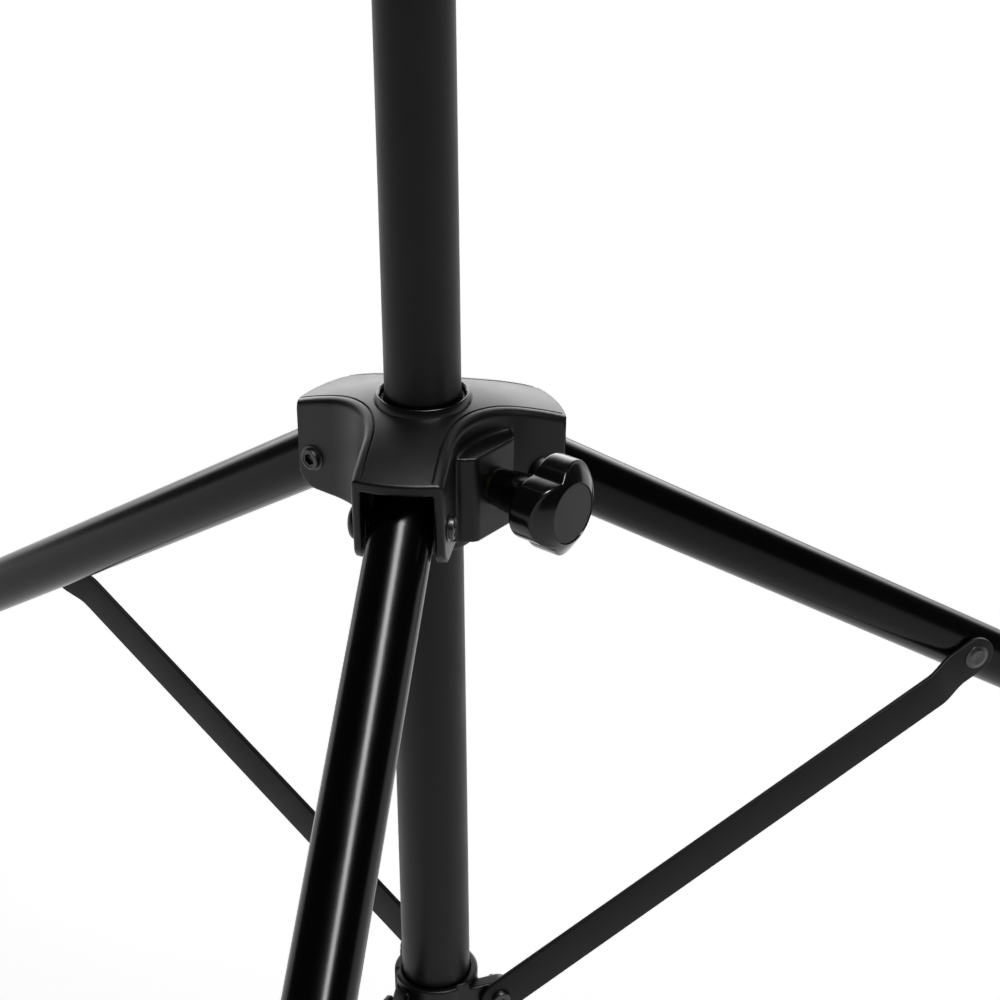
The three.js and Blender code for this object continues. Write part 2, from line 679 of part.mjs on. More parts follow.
function pole() {
  const inner = POLE_RADIUS - POLE_WALL;
  piece(stand, "pole_tube", ring(POLE_RADIUS, inner, POLE_BOTTOM, POLE_TOP), "mast");
  const spigot = inner - GAP;
  const top = turned([
    [0, POLE_TOP - PLUG_DEPTH],
    [spigot, POLE_TOP - PLUG_DEPTH],
    [spigot, POLE_TOP + GAP],
    [POLE_RADIUS, POLE_TOP + GAP],
    [POLE_RADIUS, POLE_TOP + 2.5],
    [POLE_RADIUS - 1.5, POLE_TOP + 4],
    [0, POLE_TOP + 4],
  ], ROUND);
  piece(stand, "pole_top_cap", top, "nylon");
  const plug = turned([
    [0, POLE_BOTTOM - 3],
    [POLE_RADIUS - 1, POLE_BOTTOM - 3],
    [POLE_RADIUS, POLE_BOTTOM - 2],
    [POLE_RADIUS, POLE_BOTTOM - GAP],
    [spigot, POLE_BOTTOM - GAP],
    [spigot, POLE_BOTTOM + PLUG_DEPTH],
    [0, POLE_BOTTOM + PLUG_DEPTH],
  ], ROUND);
  piece(stand, "pole_end_plug", plug, "nylon");
}

mast();
topClamp();
braceCollar();
hub();
locks();
LEGS.forEach(leg);
pole();

export default stand;
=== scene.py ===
# The looks of a folding loudspeaker tripod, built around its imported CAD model.
# Shapes are made in millimetres and scaled to metres when they become Blender meshes.
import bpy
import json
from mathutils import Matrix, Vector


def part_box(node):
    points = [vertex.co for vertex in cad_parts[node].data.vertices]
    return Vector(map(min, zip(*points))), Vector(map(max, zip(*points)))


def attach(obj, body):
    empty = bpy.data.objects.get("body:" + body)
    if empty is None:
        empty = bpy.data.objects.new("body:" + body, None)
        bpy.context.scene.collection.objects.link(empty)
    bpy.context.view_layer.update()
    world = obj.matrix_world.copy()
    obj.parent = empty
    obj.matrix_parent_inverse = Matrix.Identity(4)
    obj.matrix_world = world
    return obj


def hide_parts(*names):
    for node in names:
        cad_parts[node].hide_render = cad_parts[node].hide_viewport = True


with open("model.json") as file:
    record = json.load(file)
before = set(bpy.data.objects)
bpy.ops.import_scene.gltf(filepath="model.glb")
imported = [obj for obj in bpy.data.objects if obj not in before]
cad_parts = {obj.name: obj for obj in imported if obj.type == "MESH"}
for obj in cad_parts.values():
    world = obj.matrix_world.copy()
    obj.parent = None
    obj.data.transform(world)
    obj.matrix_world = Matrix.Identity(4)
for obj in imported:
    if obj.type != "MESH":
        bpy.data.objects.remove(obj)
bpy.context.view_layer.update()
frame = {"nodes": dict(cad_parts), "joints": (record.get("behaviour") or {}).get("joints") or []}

import json
import math

import bmesh
import bpy
import numpy as np
from mathutils import Matrix, Vector

MM = 0.001

# ------------------------------------------------ dimensions, from the frame where it has them

JOINTS = {joint["name"]: joint for joint in frame["joints"]}


def box_mm(node):
    low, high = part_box(node)
    return low / MM, high / MM


def radius_of(node):
    low, high = box_mm(node)
    return (high.x - low.x) / 2


MAST_LOW, MAST_HIGH = box_mm("mast_tube")
AXIS = (MAST_LOW + MAST_HIGH) / 2  # the mast's axis
MAST_RADIUS = radius_of("mast_tube")
POLE_LOW, POLE_HIGH = box_mm("pole_tube")
POLE_RADIUS = radius_of("pole_tube")
LIP_HEIGHT = 3.8
HUB_PLANE = box_mm("hub_housing")[1].z - LIP_HEIGHT
PIVOT = Vector(JOINTS["leg_front_fold"]["pos_m"]) / MM
PIVOT_REACH = AXIS.y - PIVOT.y
PIVOT_HEIGHT = PIVOT.z
RIVET = Vector(JOINTS["brace_front_fold"]["pos_m"]) / MM
LEG_RADIUS = radius_of("leg_tube_front")
LEG_OPEN = math.atan2(PIVOT.y - RIVET.y, PIVOT.z - RIVET.z)  # leg from hanging straight down
BRACE_ALONG_LEG = (PIVOT - RIVET).length
COLLAR_LOW, COLLAR_HIGH = box_mm("brace_collar")
BRACE_REACH = 30
BRACE_PIVOT_HEIGHT = (COLLAR_LOW.z + COLLAR_HIGH.z) / 2
BRACE_RUN = Vector((RIVET.y - AXIS.y + BRACE_REACH, RIVET.z - BRACE_PIVOT_HEIGHT))
BRACE_LENGTH = BRACE_RUN.length
BRACE_OPEN = math.atan2(-BRACE_RUN.x, BRACE_RUN.y)
CLAMP_LOW, CLAMP_HIGH = box_mm("top_clamp")
LOCK_AZIMUTH = math.radians(60)
HUB_LOCK_HEIGHT = JOINTS["hub_lock_turn"]["pos_m"][2] / MM
CLAMP_LOCK_HEIGHT = JOINTS["clamp_lock_turn"]["pos_m"][2] / MM
CLAMP_KNOB_SHIFT = 6.0
LEGS = {"front": 0.0, "right": math.radians(120), "left": math.radians(-120)}

HUB_ARM_HALF = 22.2
HUB_SLOT_HALF = 17.5
HUB_REACH = 71.4
HUB_WAIST = 33.4
HUB_BORE = 21.4
HUB_DROP = 73.4
ARM_DROP = 58.9
DOME_RADIUS = 170.0
LIP_OUTER = 24.3
LIP_TOP = 22.8
SLEEVE_RADIUS = 26.4
SLOT_INNER = 28.0
ARM_SKIN = 5.5  # thickness of an arm's top
CROWN_EDGE = 3.2  # rounding between the crown and the side walls
UNDER_EDGE = 12.0  # rounding below the arms' outer ends
SOFT_EDGE = 1.2
BOSS_FACE = 46.2
BOSS_HALF = 21.0
BOSS_DROP = 13.4
BOSS_CHAMFER = 6.5

KNOB_LOBE = 25.5
KNOB_WAIST = 18.6
KNOB_FRONT = 93.0
KNOB_DEPTH = 20.0
KNOB_CROWN = 27.0  # radius of the head's domed front
KNOB_TURN = math.radians(40)
KNOB_EDGE = 1.1
KNOB_BACK_EDGE = 2.0
CAP_RADIUS = 15.0
NECK_RADIUS = 9.5
NECK_ROOT = 12.0
NECK_START = 48.0
STUD_RADIUS = 5.0
STUD_BORE = 5.3

BOLT_RADIUS = 4.0
CAP_NUT_RADIUS = 9.0
RIVET_RADIUS = 3.2
RIVET_HEAD = 7.4
BRACE_BOLT_RADIUS = 3.0
BRACE_BOLT_HEAD = 5.6

CLAMP_RADIUS = 24.0
CLAMP_SWELL = 2.5  # the head stands this much proud of the clamp's foot
CLAMP_FACE = 40.2
CLAMP_BOSS_RADIUS = 13.0
COLLAR_RADIUS = 23.5
LUG_RADIUS = 9.0

STRAP_WIDTH = 23.0
STRAP_THICKNESS = 3.0
TAB_INNER = -(LEG_RADIUS + 0.3)
RUN_INNER = TAB_INNER - 4.5
LUG_FACE = RUN_INNER + 0.3
LUG_THICKNESS = 8.0


# ---------------------------------------------------------------- materials

class Nodes:
    """A material and short calls that add shader nodes to it."""

    def __init__(self, name):
        self.material = bpy.data.materials.new(name)
        self.material.use_nodes = True
        self.tree = self.material.node_tree
        self.shader = self.tree.nodes["Principled BSDF"]
        self.coordinates = self.tree.nodes.new("ShaderNodeTexCoord").outputs["Object"]

    def link(self, start, end):
        self.tree.links.new(start, end)

    def noise(self, scale, detail=2.0, roughness=0.5):
        node = self.tree.nodes.new("ShaderNodeTexNoise")
        node.inputs["Scale"].default_value = scale
        node.inputs["Detail"].default_value = detail
        node.inputs["Roughness"].default_value = roughness
        self.link(self.coordinates, node.inputs["Vector"])
        return node.outputs["Fac"]

    def spread(self, value, low, high, start=0.3, end=0.7):
        """Maps a noise value from start..end to low..high."""
        node = self.tree.nodes.new("ShaderNodeMapRange")
        node.inputs["From Min"].default_value = start
        node.inputs["From Max"].default_value = end
        node.inputs["To Min"].default_value = low
        node.inputs["To Max"].default_value = high
        self.link(value, node.inputs["Value"])
        return node.outputs["Result"]

    def ramp(self, value, dark, light):
        """A colour between two, by a value from 0 to 1."""
        node = self.tree.nodes.new("ShaderNodeMix")
        node.data_type = "RGBA"
        node.inputs["A"].default_value = (*dark, 1)
        node.inputs["B"].default_value = (*light, 1)
        self.link(value, node.inputs["Factor"])
        return node.outputs["Result"]

    def bump(self, height, distance, strength=1.0, under=None):
        node = self.tree.nodes.new("ShaderNodeBump")
        node.inputs["Strength"].default_value = strength
        node.inputs["Distance"].default_value = distance
        self.link(height, node.inputs["Height"])
        if under is not None:
            self.link(under, node.inputs["Normal"])
        return node.outputs["Normal"]

    def set(self, **values):
        for name, value in values.items():
            self.shader.inputs[name.replace("_", " ")].default_value = value

    def finish(self, colour, roughness, normal=None):
        self.link(colour, self.shader.inputs["Base Color"])
        self.link(roughness, self.shader.inputs["Roughness"])
        if normal is not None:
            self.link(normal, self.shader.inputs["Normal"])
        return self.material


def grey(level):
    return (level, level, level * 1.03)


def coated(name, level, rough, grain, grain_depth, wave, wave_depth, specular):
    """A black surface: colour and gloss that vary a little, a fine grain and a slow waviness."""
    nodes = Nodes(name)
    cloud = nodes.noise(35.0, 4.0, 0.6)
    fine = nodes.noise(grain, 2.0, 0.5)
    slow = nodes.noise(wave, 1.0, 0.4)
    colour = nodes.ramp(nodes.spread(cloud, 0.0, 1.0), grey(level * 0.85), grey(level * 1.2))
    gloss = nodes.spread(cloud, rough * 0.92, rough * 1.1)
    normal = nodes.bump(slow, wave_depth)
    normal = nodes.bump(fine, grain_depth, 1.0, normal)
    nodes.set(Specular_IOR_Level=specular)
    return nodes.finish(colour, gloss, normal)


def metal(name, colour, rough):
    """Turned or blackened metal with fine rings of uneven gloss."""
    nodes = Nodes(name)
    cloud = nodes.noise(400.0, 3.0, 0.6)
    light = tuple(c * 1.25 for c in colour)
    tint = nodes.ramp(nodes.spread(cloud, 0.0, 1.0), colour, light)
    nodes.set(Metallic=1.0)
    normal = nodes.bump(nodes.noise(2500.0, 1.0), 0.00001)
    return nodes.finish(tint, nodes.spread(cloud, rough * 0.85, rough * 1.15), normal)


# Coated: name, grey level, roughness, grain scale and depth, wave scale and depth, specular level.
MATERIALS = {
    "mast": coated("mast_paint", 0.007, 0.42, 1600.0, 0.000012, 160.0, 0.00003, 0.2),
    "leg": coated("leg_paint", 0.002, 0.18, 900.0, 0.000004, 120.0, 0.00002, 0.15),
    "hub": coated("hub_plastic", 0.003, 0.36, 2200.0, 0.00003, 90.0, 0.00002, 0.28),
    "lip": coated("hub_lip", 0.003, 0.24, 2200.0, 0.00001, 90.0, 0.00001, 0.4),
    "brace": coated("brace_paint", 0.006, 0.5, 1500.0, 0.00003, 200.0, 0.00002, 0.18),
    "knob": coated("knob_gloss", 0.004, 0.18, 500.0, 0.000002, 60.0, 0.00002, 0.35),
    "cap": coated("knob_cap", 0.009, 0.5, 2600.0, 0.00001, 90.0, 0.00001, 0.35),
    "nylon": coated("nylon", 0.012, 0.5, 1400.0, 0.00001, 90.0, 0.00002, 0.35),
    "rubber": coated("rubber", 0.01, 0.75, 1300.0, 0.00004, 150.0, 0.00004, 0.3),
    "steel": metal("bolt_steel", (0.16, 0.155, 0.15), 0.32),
    "dark": metal("bolt_dark", (0.06, 0.06, 0.06), 0.34),
    "brass": metal("insert_brass", (0.07, 0.05, 0.025), 0.45),
}


# ---------------------------------------------------------------- making meshes

def add_piece(name, body, material, points, faces, matrix, replaces=()):
    """A mesh object from millimetre points, put in place, coloured and riding on its body."""
    place = np.array(matrix)
    points = np.asarray(points, float) @ place[:3, :3].T + place[:3, 3]
    mesh = bpy.data.meshes.new(name)
    mesh.from_pydata((points * MM).tolist(), [], faces)
    mesh.validate()
    mesh.shade_smooth()
    mesh.materials.append(MATERIALS[material])
    piece = bpy.data.objects.new(name, mesh)
    bpy.context.scene.collection.objects.link(piece)
    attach(piece, body)
    if replaces:
        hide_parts(*replaces)
    return piece


def arc(radius, height, size, start, end, steps=6):
    """[radius, z] points of a round edge about a centre, angles in degrees from outward."""
    angles = np.radians(np.linspace(start, end, steps + 1))
    return [(radius + size * math.cos(a), height + size * math.sin(a)) for a in angles]


def lathe(profile, segments=96):
    """Points and faces of a body of revolution about Z from [radius, z] points up the outside."""
    points, faces, rings = [], [], []
    for radius, height in profile:
        if radius < 1e-6:
            rings.append([len(points)])
            points.append((0.0, 0.0, height))
            continue
        rings.append(list(range(len(points), len(points) + segments)))
        for i in range(segments):
            angle = 2 * math.pi * i / segments
            points.append((radius * math.cos(angle), radius * math.sin(angle), height))
    for below, above in zip(rings, rings[1:]):
        for i in range(segments):
            j = (i + 1) % segments
            corners = [
                below[i % len(below)],
                below[j % len(below)],
                above[j % len(above)],
                above[i % len(above)],
            ]
            faces.append(list(dict.fromkeys(corners)))
    return points, faces


def closed(profile):
    """A profile that comes back to its start, for a ring."""
    return [*profile, profile[0]]


def welded(piece):
    """Merges the doubled ring of a closed profile."""
    work = bmesh.new()
    work.from_mesh(piece.data)
    bmesh.ops.remove_doubles(work, verts=work.verts, dist=1e-6)
    bmesh.ops.recalc_face_normals(work, faces=work.faces)
    work.to_mesh(piece.data)
    work.free()
    return piece


def turned(name, body, material, profile, matrix, replaces=(), segments=96, crease=40):
    points, faces = lathe(profile, segments)
    piece = add_piece(name, body, material, points, faces, matrix, replaces)
    welded(piece)
    piece.data.set_sharp_from_angle(angle=math.radians(crease))
    return piece


def bored(outer, inner, bottom, top, edge=0.4):
    """Profile of a tube's wall with softened ends."""
    return closed([
        (inner, bottom + edge),
        (inner + edge, bottom),
        (outer - edge, bottom),
        (outer, bottom + edge),
        (outer, top - edge),
        (outer - edge, top),
        (inner + edge, top),
        (inner, top - edge),
    ])


# Frames. A turned frame has -Y pointing out from the mast and its X along the pivots.

def turned_frame(azimuth):
    return Matrix.Translation((AXIS.x, AXIS.y, 0)) @ Matrix.Rotation(azimuth, 4, "Z")


def leg_frame(azimuth):
    out = Matrix.Translation((0, -PIVOT_REACH, PIVOT_HEIGHT))
    return turned_frame(azimuth) @ out @ Matrix.Rotation(-LEG_OPEN, 4, "X")


def brace_frame(azimuth):
    down = Matrix.Translation((0, 0, -BRACE_ALONG_LEG))
    return leg_frame(azimuth) @ down @ Matrix.Rotation(LEG_OPEN + BRACE_OPEN, 4, "X")


def radial_frame(azimuth, height, shift=0.0):
    """Z out from the mast, Y up."""
    lift = Matrix.Translation((0, shift, height))
    return turned_frame(azimuth) @ lift @ Matrix.Rotation(math.pi / 2, 4, "X")


ALONG_X = Matrix.Rotation(math.pi / 2, 4, "Y")


# ------------------------------------------------ fields: solids as signed distances, in millimetres

def round_max(a, b, radius):
    """Common part of two fields, with its edge rounded."""
    corner = np.hypot(np.maximum(radius + a, 0), np.maximum(radius + b, 0))
    return np.minimum(-radius, np.maximum(a, b)) + corner


def round_min(a, b, radius):
    """Two fields joined, with a fillet between them."""
    corner = np.hypot(np.maximum(radius - a, 0), np.maximum(radius - b, 0))
    return np.maximum(radius, np.minimum(a, b)) - corner


def cylinder_along(x, y, z, centre, direction, radius, low, high, edge):
    """A rod through centre along a horizontal or upright direction."""
    dx, dy, dz = x - centre[0], y - centre[1], z - centre[2]
    along = dx * direction[0] + dy * direction[1] + dz * direction[2]
    square = dx * dx + dy * dy + dz * dz - along * along
    side = np.sqrt(np.maximum(square, 0)) - radius
    ends = np.maximum(low - along, along - high)
    return round_max(side, ends, edge)


def surface_net(field, low, high, step):
    """Points and quads on a field's zero surface, each point pulled on to it."""
    axes = [np.arange(a, b + step, step) for a, b in zip(low, high)]
    x, y, z = np.meshgrid(*axes, indexing="ij", sparse=True)
    values = np.broadcast_to(field(x, y, z), [len(a) for a in axes]).astype(np.float32)
    inside = values < 0
    cells = [n - 1 for n in values.shape]
    total = np.zeros((*cells, 3), np.float32)
    count = np.zeros(cells, np.int8)
    for axis in range(3):
        others = [a for a in range(3) if a != axis]
        start = [slice(None)] * 3
        end = [slice(None)] * 3
        start[axis], end[axis] = slice(0, -1), slice(1, None)
        a, b = values[tuple(start)], values[tuple(end)]
        crossing = (a < 0) != (b < 0)
        with np.errstate(divide="ignore", invalid="ignore"):
            share = np.where(crossing, a / (a - b), 0)
        for i in (0, 1):
            for j in (0, 1):
                part = [slice(None)] * 3
                part[others[0]] = slice(i, i + cells[others[0]])
                part[others[1]] = slice(j, j + cells[others[1]])
                hit = crossing[tuple(part)]
                count += hit
                total[..., axis] += np.where(hit, share[tuple(part)], 0)
                total[..., others[0]] += np.where(hit, i, 0)
                total[..., others[1]] += np.where(hit, j, 0)
    active = count > 0
    index = np.full(cells, -1, np.int64)
    index[active] = np.arange(active.sum())
    corner = np.argwhere(active)
    points = corner + total[active] / count[active][:, None]
    points = np.array([a[0] for a in axes]) + points * step
    quads = []
    for axis in range(3):
        one, two = (axis + 1) % 3, (axis + 2) % 3
        start = [slice(1, -1)] * 3
        end = [slice(1, -1)] * 3
        start[axis], end[axis] = slice(0, -1), slice(1, None)
        a, b = inside[tuple(start)], inside[tuple(end)]
        for flip, mask in ((False, a & ~b), (True, ~a & b)):
            spot = np.argwhere(mask)
            offset = np.ones(3, int)
            offset[axis] = 0
            spot = spot + offset
            ring = []
            for i, j in ((0, 0), (-1, 0), (-1, -1), (0, -1)):
                near = spot.copy()
                near[:, one] += i
                near[:, two] += j
                ring.append(index[near[:, 0], near[:, 1], near[:, 2]])
            quad = np.stack(ring, 1)
            quads.append(quad[:, ::-1] if flip else quad)
    quads = np.concatenate(quads)
    for _ in range(2):
        points = pulled(field, points, 0.6 * step)
    return points, quads


def pulled(field, points, reach):
    """Moves points along the field's slope on to its zero surface."""
    x, y, z = points.T
    small = 0.02
    value = field(x, y, z)
    slope = np.stack([
        field(x + small, y, z) - field(x - small, y, z),
        field(x, y + small, z) - field(x, y - small, z),
        field(x, y, z + small) - field(x, y, z - small),
    ], 1) / (2 * small)
    length = np.maximum(np.linalg.norm(slope, axis=1), 0.3)
    move = np.clip(value / length, -reach, reach)
    return points - slope / length[:, None] * move[:, None]


def moulded(name, body, material, field, low, high, step, matrix, replaces=()):
    points, quads = surface_net(field, low, high, step)
    return add_piece(name, body, material, points, quads.tolist(), matrix, replaces)


# ---------------------------------------------------------------- hub

def nearest_arm(x, y):
    """(distance out, signed distance across) in the frame of the nearest of three arms."""
    out, across = -y + 0 * x, x + 0 * y
    best_out, best_across = out, across
    for azimuth in (LEGS["right"], LEGS["left"]):
        sine, cosine = math.sin(azimuth), math.cos(azimuth)
        other = x * sine - y * cosine
        closer = other > best_out
        best_across = np.where(closer, x * cosine + y * sine, best_across)
        best_out = np.where(closer, other, best_out)
    return best_out, best_across


SINE = math.sin(math.pi / 3)
CURVE = (HUB_WAIST * SINE - HUB_ARM_HALF) / (1 - SINE)  # radius of the hollow curve
CURVE_MIDDLE = HUB_WAIST + CURVE


def side_distance(out, across):
    """Distance outside the arms' side walls and the hollow curves between them."""
    centre_out, centre_across = CURVE_MIDDLE / 2, CURVE_MIDDLE * SINE
    curve = CURVE - np.hypot(out - centre_out, np.abs(across) - centre_across)
    return np.where(out > centre_out, np.abs(across) - HUB_ARM_HALF, curve)


def crown_height(radius):
    return -np.maximum(radius ** 2 - LIP_OUTER ** 2, 0) / (2 * DOME_RADIUS)


def hub_field(x, y, z):
    radius = np.hypot(x, y)
    out, across = nearest_arm(x, y)
    side = side_distance(out, across)
    end = radius - HUB_REACH + 0.035 * np.maximum(-14 - z, 0)
    top = (z - crown_height(radius)) * 0.95
    body = round_max(side, end, 1.8)
    body = round_max(body, -ARM_DROP - z, SOFT_EDGE)
    body = round_max(body, round_max(end, -ARM_DROP - z, UNDER_EDGE), 0.6)
    body = round_max(body, top, 0.9)
    body = np.maximum(body, round_max(side, top, CROWN_EDGE))

    sine, cosine = math.sin(LOCK_AZIMUTH), math.cos(LOCK_AZIMUTH)
    boss_out, boss_across = x * sine - y * cosine, x * cosine + y * sine
    wide = np.abs(boss_across)
    chamfer = (wide + boss_out - (BOSS_HALF + BOSS_FACE - BOSS_CHAMFER)) * math.sqrt(0.5)
    boss = round_max(round_max(boss_out - BOSS_FACE, wide - BOSS_HALF, 1.0), chamfer, 1.5)
    boss = np.maximum(boss, 20 - boss_out)
    boss = round_max(boss, z + BOSS_DROP, 1.0)
    boss = round_max(boss, -ARM_DROP - z, SOFT_EDGE)
    body = round_min(body, boss, 1.6)

    sleeve = round_max(radius - SLEEVE_RADIUS, np.maximum(-HUB_DROP - z, z + 50), 1.0)
    body = round_min(body, sleeve, 3.0)

    slot = np.maximum(np.abs(across) - HUB_SLOT_HALF, SLOT_INNER - out)
    slot = round_max(slot, z - crown_height(radius) + ARM_SKIN, 1.5)
    body = round_max(body, -slot, 1.0)
    body = round_max(body, HUB_BORE - radius, 0.8)
    hole = cylinder_along(
        x, y, z, (0, 0, HUB_LOCK_HEIGHT - HUB_PLANE), (sine, -cosine, 0), 8.0, 10, 60, 0.1
    )
    return round_max(body, -hole, 0.6)


GROOVE_INSET = 5.2
GROOVE_HALF = 0.5
GROOVE_DEPTH = 0.8


def engrave_hub(piece, matrix):
    """Cuts the fine line that runs beside the hollow curves on the crown."""
    work = bmesh.new()
    work.from_mesh(piece.data)
    back = matrix.inverted()

    def distance(point):
        local = back @ (point / MM)
        radius = math.hypot(local.x, local.y)
        if local.z < crown_height(radius) - 1.5 or radius < LIP_OUTER + 0.5:
            return 99.0
        out, across = nearest_arm(local.x, local.y)
        if radius > HUB_REACH - 2.2:
            return 99.0
        return abs(float(side_distance(out, across)) + GROOVE_INSET)

    for reach, cuts in ((1.3, 1), (0.9, 1)):
        near = {v for v in work.verts if distance(v.co) < reach}
        edges = [e for e in work.edges if e.verts[0] in near or e.verts[1] in near]
        bmesh.ops.subdivide_edges(work, edges=edges, cuts=cuts, use_grid_fill=True)
    for vertex in work.verts:
        share = distance(vertex.co) / GROOVE_HALF
        if share < 1:
            vertex.co.z -= GROOVE_DEPTH * MM * (1 - share ** 2)
    work.to_mesh(piece.data)
    work.free()
    piece.data.shade_smooth()


BUSHES = {"upper": "hub_bush_top", "lower": "hub_bush_bottom"}


def make_hub():
    """The moulded housing, its lip and bushes, and the hardware of its three pivots."""
    step = 0.95
    matrix = Matrix.Translation((AXIS.x, AXIS.y, HUB_PLANE))
    piece = moulded(
        "hub_body", "hub", "hub", hub_field, (-68, -75, -80), (68, 48, 7), step, matrix,
        ["hub_housing"],
    )
    engrave_hub(piece, matrix)
    frame_up = turned_frame(0)
    lip = closed([
        (HUB_BORE + 0.1, HUB_PLANE - 3),
        (LIP_OUTER, HUB_PLANE - 3),
        (LIP_OUTER, HUB_PLANE + 0.3),
        (LIP_TOP + 0.2, HUB_PLANE + LIP_HEIGHT - 0.6),
        *arc(LIP_TOP - 0.35, HUB_PLANE + LIP_HEIGHT - 0.5, 0.5, 20, 90, 5),
        (HUB_BORE + 0.7, HUB_PLANE + LIP_HEIGHT),
        (HUB_BORE + 0.1, HUB_PLANE + LIP_HEIGHT - 0.6),
    ])
    turned("hub_lip", "hub", "lip", lip, frame_up, ["hub_housing"], 128, 30)
    for place in ("upper", "lower"):
        low, high = box_mm(f"hub_bush_{place}")
        wall = bored(HUB_BORE - 0.3, MAST_RADIUS + 0.3, low.z, high.z, 0.6)
        turned(BUSHES[place], "hub", "nylon", wall, frame_up, [f"hub_bush_{place}"])
    for name, azimuth in LEGS.items():
        pivot_hardware(name, azimuth)


def hexagon_cut(piece, matrix, radius, bottom, top):
    """Cuts a hexagonal socket into a piece."""
    angles = [i * math.pi / 3 for i in range(6)]
    corners = [(radius * math.cos(a), radius * math.sin(a)) for a in angles]
    work = bmesh.new()
    place = Matrix.Diagonal((MM, MM, MM, 1)) @ matrix
    low = [work.verts.new(place @ Vector((x, y, bottom))) for x, y in corners]
    high = [work.verts.new(place @ Vector((x, y, top))) for x, y in corners]
    work.faces.new(low[::-1])
    work.faces.new(high)
    for i in range(6):
        j = (i + 1) % 6
        work.faces.new((low[i], low[j], high[j], high[i]))
    mesh = bpy.data.meshes.new("socket")
    work.to_mesh(mesh)
    work.free()
    tool = bpy.data.objects.new("socket", mesh)
    bpy.context.scene.collection.objects.link(tool)
    cut = piece.modifiers.new("socket", "BOOLEAN")
    cut.operation = "DIFFERENCE"
    cut.solver = "EXACT"
    cut.object = tool
    bpy.context.view_layer.update()
    graph = bpy.context.evaluated_depsgraph_get()
    result = bpy.data.meshes.new_from_object(piece.evaluated_get(graph))
    piece.modifiers.clear()
    piece.data = result
    piece.data.set_sharp_from_angle(angle=math.radians(35))
    bpy.data.objects.remove(tool)


def pivot_hardware(name, azimuth):
    """The socket-headed bolt, its round cap nut and the washers that a leg turns on."""
    face = HUB_ARM_HALF + 0.1
    matrix = turned_frame(azimuth) @ Matrix.Translation((0, -PIVOT_REACH, PIVOT_HEIGHT)) @ ALONG_X
    head = [
        (0, -(face + 2)),
        (BOLT_RADIUS, -(face + 2)),
        (BOLT_RADIUS, face),
        (6.8, face),
        (6.9, face + 0.3),
        (6.6, face + 0.6),
        (5.6, face + 0.7),
        *arc(5.0, face + 2.4, 0.6, 0, 90, 4),
        (4.2, face + 3.0),
        (3.9, face + 2.6),
        (0, face + 2.6),
    ]
    bolt = turned(f"pivot_bolt_{name}_fine", "hub", "dark", head, matrix, [f"pivot_bolt_{name}"], 64)
    hexagon_cut(bolt, matrix, 3.3, face + 0.7, face + 5)
    nut = [
        (0, -(face + 4.2)),
        *[(r, -(face + h)) for r, h in ((2.5, 4.1), (5, 3.7), (7, 2.9), (8.2, 1.9), (8.8, 0.8))],
        (CAP_NUT_RADIUS, -face),
        (4.3, -face),
        (4.3, -(face + 2.3)),
        (0, -(face + 2.3)),
    ]
    turned(f"pivot_nut_{name}_fine", "hub", "hub", nut, matrix, [f"pivot_nut_{name}"], 64)
    for side, sign in (("a", 1), ("b", -1)):
        low, high = sorted((sign * (LEG_RADIUS + 0.3), sign * (HUB_SLOT_HALF - 0.3)))
        turned(
            f"pivot_washer_{name}_{side}_fine", "hub", "nylon", bored(8, 4.3, low, high, 0.15),
            matrix, [f"pivot_washer_{name}_{side}"], 48,
        )


# ---------------------------------------------------------------- knobs

def lobe_radius(angle):
    """Outline of the knob's head, angle from its first lobe."""
    lobe = ((1 + math.cos(3 * angle)) / 2) ** 0.6
    return KNOB_WAIST + (KNOB_LOBE - KNOB_WAIST) * lobe


def knob_profile():
    """Rows of (share, radius or inset, z) from the stud's bore round the neck to the head's side.

    Share 0 is a round ring of the given radius, share 1 the lobed outline moved by the inset.
    """
    back = KNOB_FRONT - KNOB_DEPTH
    neck = [
        (0.0, KNOB_FRONT - 10),
        (STUD_BORE, KNOB_FRONT - 10),
        (STUD_BORE, NECK_START),
        (NECK_RADIUS - 0.6, NECK_START),
        (NECK_RADIUS, NECK_START + 0.6),
        (NECK_RADIUS, NECK_START + 4),
        (NECK_RADIUS + 0.7, NECK_START + 5),
        (NECK_ROOT - 0.3, back - 4),
        (NECK_ROOT + 0.2, back - 1.2),
        (NECK_ROOT + 1.5, back),
    ]
    rows = [(0.0, radius, z) for radius, z in neck]
    for share in (0.35, 0.7):
        rows.append((share, 0.0, back))
    edge = KNOB_BACK_EDGE
    for angle in np.linspace(-90, 0, 7):
        a = math.radians(angle)
        rows.append((1.0, -edge * (1 - math.cos(a)), back + edge + edge * math.sin(a)))
    return rows


